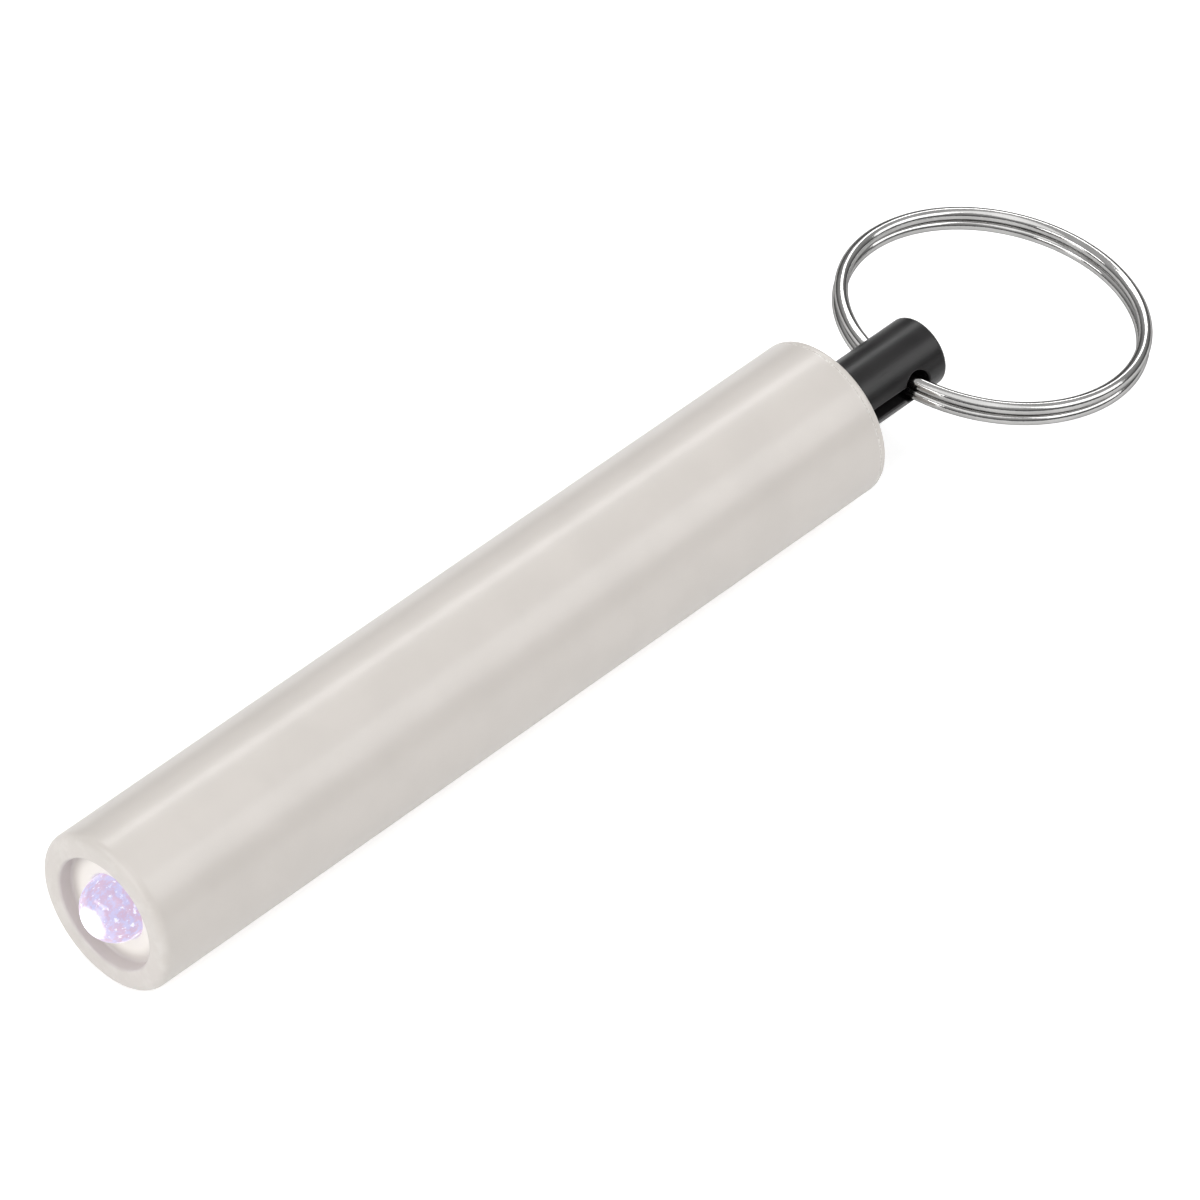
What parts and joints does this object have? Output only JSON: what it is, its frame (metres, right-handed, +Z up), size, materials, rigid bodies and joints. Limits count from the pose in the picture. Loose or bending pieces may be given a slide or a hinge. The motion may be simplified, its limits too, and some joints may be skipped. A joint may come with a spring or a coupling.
{
  "type": "keychain flashlight",
  "caption": "Slim round keychain flashlight with an LED in its recessed nose, a push plunger at the rear and a split ring through the plunger.",
  "frame": {"origin": "on the surface that the light lies on, under the middle of the whole object with its ring", "axes": "+X along the light's axis from the LED to the ring, +Z up, Y across, along the plunger's cross hole"},
  "size_m": [0.1042, 0.024, 0.0127],
  "materials": {
    "shell_plastic": "moulded, satin gloss, warm pale grey",
    "black_plastic": "moulded, glossy black",
    "nickel_plate": "bright nickel plate on steel wire",
    "led_epoxy": "clear cast epoxy",
    "phosphor": "phosphor over the chip",
    "white_plastic": "moulded, matte white",
    "tinned_steel": "tinned",
    "board_laminate": "green solder resist on laminate",
    "black_epoxy": "moulded package",
    "ceramic": "fired ceramic",
    "ferrite": "sintered ferrite",
    "copper_wire": "enamelled copper wire",
    "contact_brass": "stamped brass",
    "fibre": "pressed fibre",
    "battery_metal": "nickel-plated can",
    "label_film": "shrunk film, plain",
    "nylon": "moulded",
    "spring_steel": "drawn wire"
  },
  "bodies": {
    "light_body": {"barrel": "shell_plastic", "led_lens": "led_epoxy", "led_cathode_frame": "tinned_steel", "led_anode_frame": "tinned_steel", "led_chip": "phosphor", "led_holder": "white_plastic", "driver_board": "board_laminate", "driver_chip": "black_epoxy", "board_capacitor": "ceramic", "boost_coil_core": "ferrite", "boost_coil_winding": "copper_wire", "positive_contact": "contact_brass", "insulator_ring": "fibre", "return_strip": "tinned_steel", "battery_can": "battery_metal", "battery_label": "label_film", "battery_seal": "nylon", "battery_end_cap": "tinned_steel", "battery_spring": "spring_steel", "spring_plate": "contact_brass", "contact_rivet": "contact_brass", "switch_carrier": "white_plastic", "return_spring": "spring_steel"},
    "rear_cap": {"rear_cap": "shell_plastic"},
    "plunger": {"plunger": "black_plastic", "contact_disc": "contact_brass"},
    "split_ring": {"split_ring": "nickel_plate"}
  },
  "joints": [
    {"name": "cap_pull", "type": "slide", "parent": "light_body", "child": "rear_cap", "axis": [1, 0, 0], "range_m": [0, 0.006]},
    {"name": "plunger_press", "type": "slide", "parent": "rear_cap", "child": "plunger", "axis": [-1, 0, 0], "range_m": [0, 0.002], "stiffness_N_per_m": 1250, "springref_m": -0.0012, "deforming": ["return_spring"]},
    {"name": "ring_swing", "type": "hinge", "parent": "plunger", "child": "split_ring", "pos_m": [0.02906, 0, 0.00633], "axis": [0, 1, 0], "range_deg": [-158, 142]}
  ]
}
